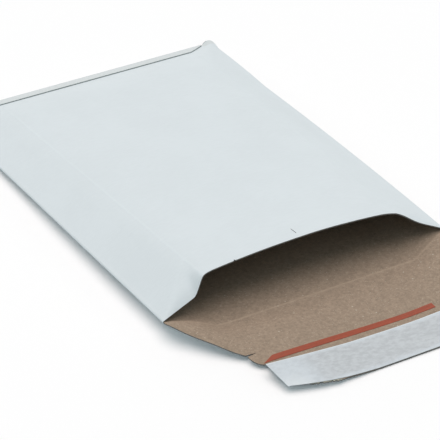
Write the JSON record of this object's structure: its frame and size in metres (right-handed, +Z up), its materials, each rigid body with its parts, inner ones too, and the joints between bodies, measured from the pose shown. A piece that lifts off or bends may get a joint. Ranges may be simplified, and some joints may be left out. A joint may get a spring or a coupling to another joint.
{
  "type": "cardboard envelope",
  "caption": "Open, bulged mailing envelope of folded solid board with a glued end flap and a closing flap that carries a tear strip and a covered adhesive band.",
  "frame": {"origin": "under the middle of the whole outline, on the plane the back panel lies on", "axes": "+Z up, +Y from the closing flap to the far end, +X across the envelope to the right as seen from the mouth"},
  "size_m": [0.162, 0.3018, 0.0253],
  "materials": {
    "board": "coated pale outside, raw grey-brown inside, matt",
    "tear_tape": "satin",
    "adhesive": "tacky film",
    "liner": "silicone-coated, slightly glossy"
  },
  "bodies": {
    "root": {"folded_board": "board", "tear_strip": "tear_tape", "adhesive_band": "adhesive", "release_liner": "liner"}
  },
  "joints": []
}
